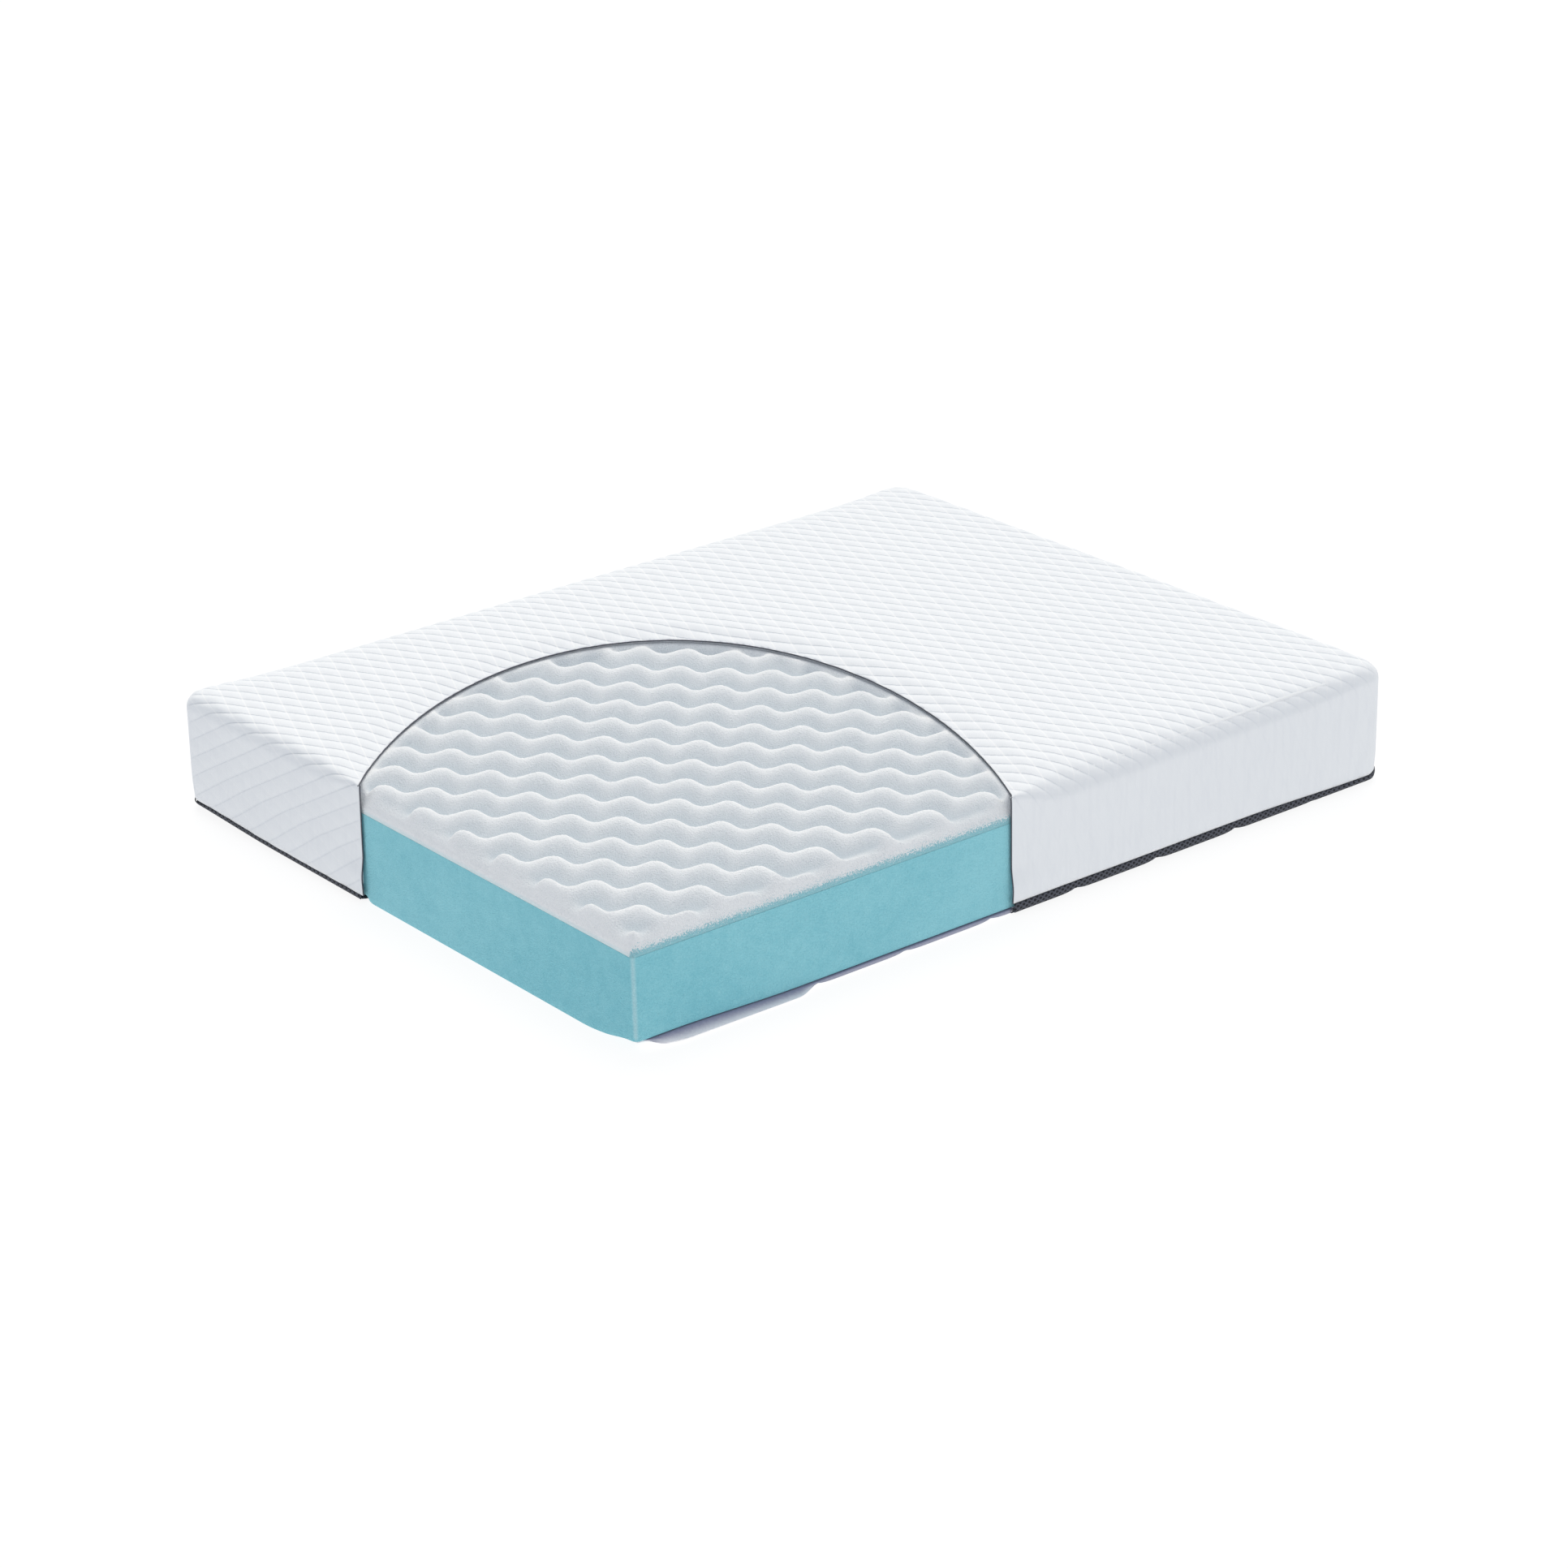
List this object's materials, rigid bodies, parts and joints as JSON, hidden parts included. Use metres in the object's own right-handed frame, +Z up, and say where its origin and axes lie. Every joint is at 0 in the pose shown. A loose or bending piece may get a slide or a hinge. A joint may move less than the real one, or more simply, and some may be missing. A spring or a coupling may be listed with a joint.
{
  "type": "memory foam mattress",
  "caption": "Foam mattress with a quilted zip-off cover cut away at one corner to show a ridged comfort layer on a support block.",
  "frame": {"origin": "centre of the underside, on the floor plane", "axes": "+X along the length, +Y along the width, +Z up"},
  "size_m": [2, 1.6036, 0.271],
  "materials": {
    "quilt_knit": "quilted matte knit",
    "wadding": "matte fibre",
    "lining": "matte",
    "edge_binding": "matte tape",
    "teal_foam": "open-cell foam, matte",
    "glue": "matte film",
    "white_foam": "open-cell foam, matte",
    "dark_mesh": "spacer mesh",
    "base_fill": "matte fibre",
    "thread": "sewing thread",
    "zip_tape": "woven tape",
    "zip_coil": "satin nylon",
    "zip_metal": "satin enamel"
  },
  "bodies": {
    "mattress_base": {"support_core": "teal_foam", "bond_film": "glue", "comfort_layer": "white_foam", "base_mesh_panel": "dark_mesh", "base_wadding": "base_fill", "base_backing": "lining", "base_border": "dark_mesh", "base_channel_threads": "thread", "lower_zip_tape": "zip_tape", "lower_zip_coil": "zip_coil"},
    "top_cover": {"cover_knit": "quilt_knit", "cover_wadding": "wadding", "cover_backing": "lining", "cover_cut_binding": "edge_binding", "upper_zip_tape": "zip_tape", "upper_zip_coil": "zip_coil"},
    "slider": {"zip_slider": "zip_metal"},
    "pull": {"zip_pull": "zip_metal"}
  },
  "joints": [
    {"name": "cover_lift", "type": "slide", "parent": "mattress_base", "child": "top_cover", "axis": [0, 0, 1], "range_m": [0, 0.26]},
    {"name": "slider_travel", "type": "slide", "parent": "mattress_base", "child": "slider", "axis": [-1, 0, 0], "range_m": [0, 1.8]},
    {"name": "pull_swing", "type": "hinge", "parent": "slider", "child": "pull", "pos_m": [0.9, 0.80145, 0.0255], "axis": [0, 0, -1], "range_deg": [0, 180]}
  ]
}
